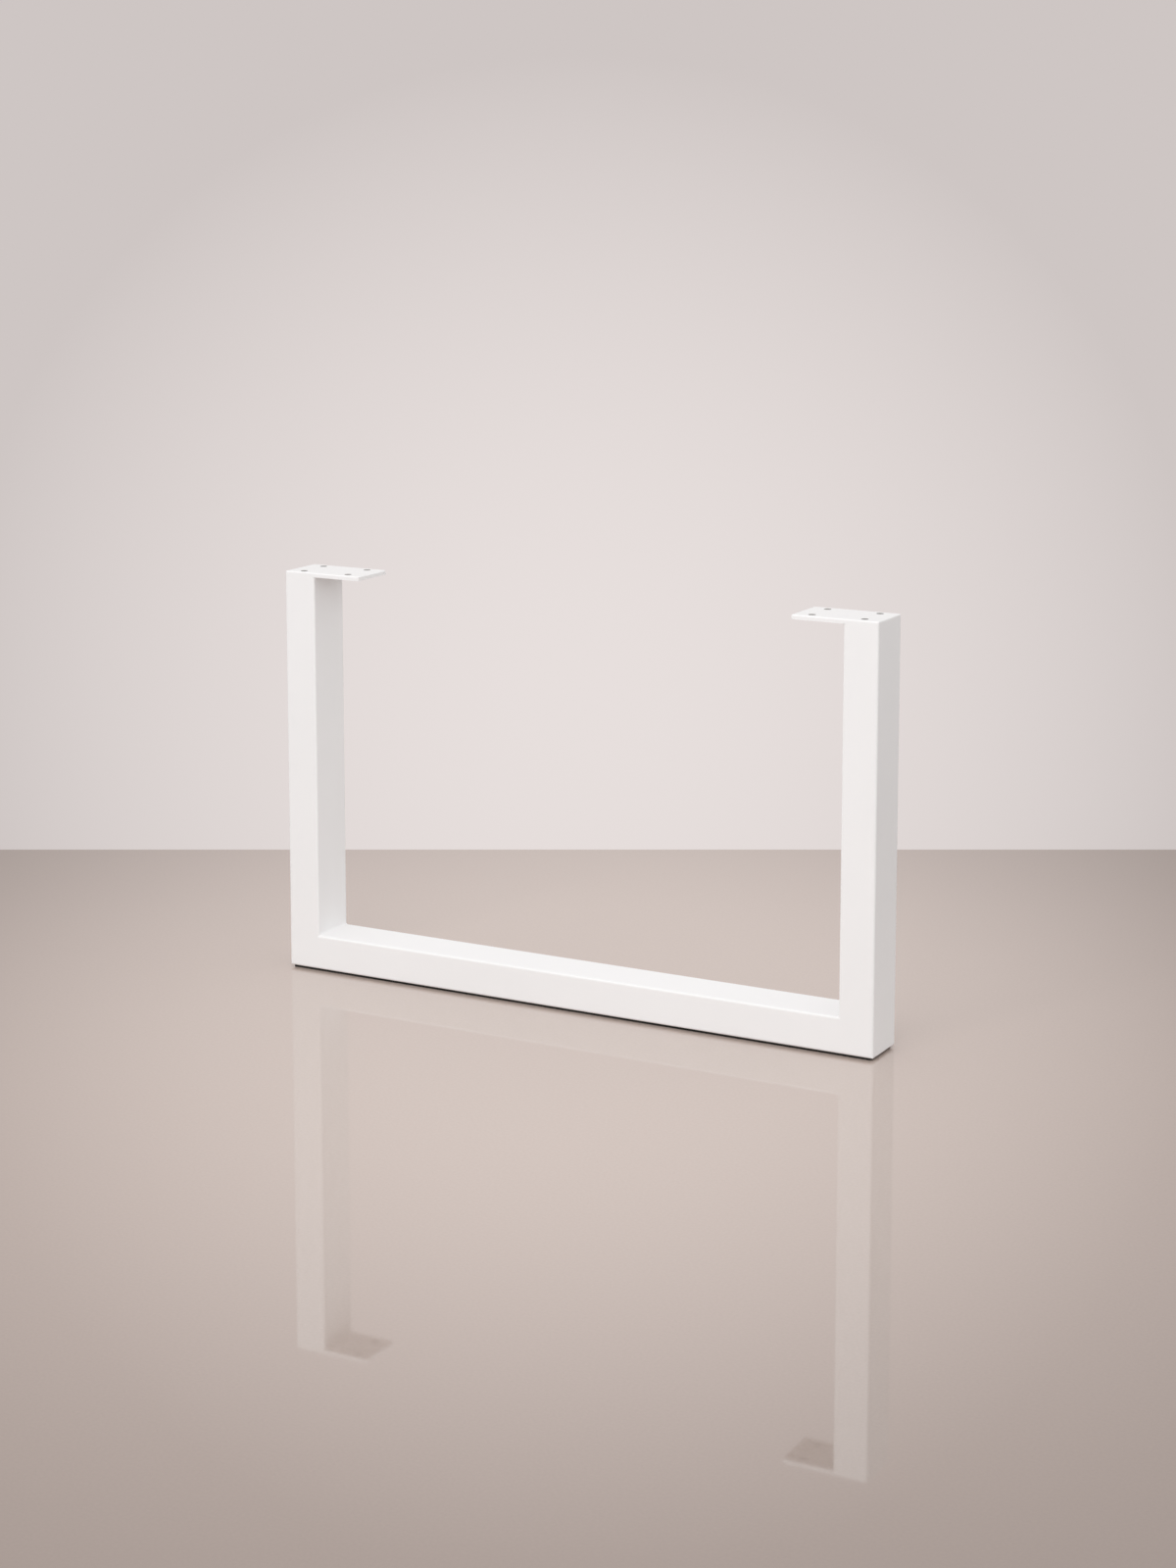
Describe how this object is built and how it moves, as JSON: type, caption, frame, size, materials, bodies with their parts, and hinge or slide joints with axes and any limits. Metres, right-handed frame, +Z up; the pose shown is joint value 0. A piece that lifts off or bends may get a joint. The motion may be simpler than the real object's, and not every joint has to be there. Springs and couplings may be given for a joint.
{
  "type": "u shaped table leg",
  "caption": "White powder-coated steel leg for a low table or bench: a U of rectangular tube, open at the top, with drilled inward mounting plates and a thin black strip under its rail.",
  "frame": {"origin": "on the floor, midway between the uprights and in the middle of the tube's depth", "axes": "+X along the rail towards the right upright, +Y from front to back, +Z up"},
  "size_m": [0.74, 0.06, 0.47],
  "materials": {
    "powder_coat": "satin white powder coat on steel",
    "strip_rubber": "matt black"
  },
  "bodies": {
    "root": {"bottom_rail": "powder_coat", "left_upright": "powder_coat", "right_upright": "powder_coat", "left_mounting_plate": "powder_coat", "right_mounting_plate": "powder_coat", "left_corner_weld": "powder_coat", "right_corner_weld": "powder_coat", "left_plate_weld": "powder_coat", "right_plate_weld": "powder_coat", "floor_strip": "strip_rubber"}
  },
  "joints": []
}
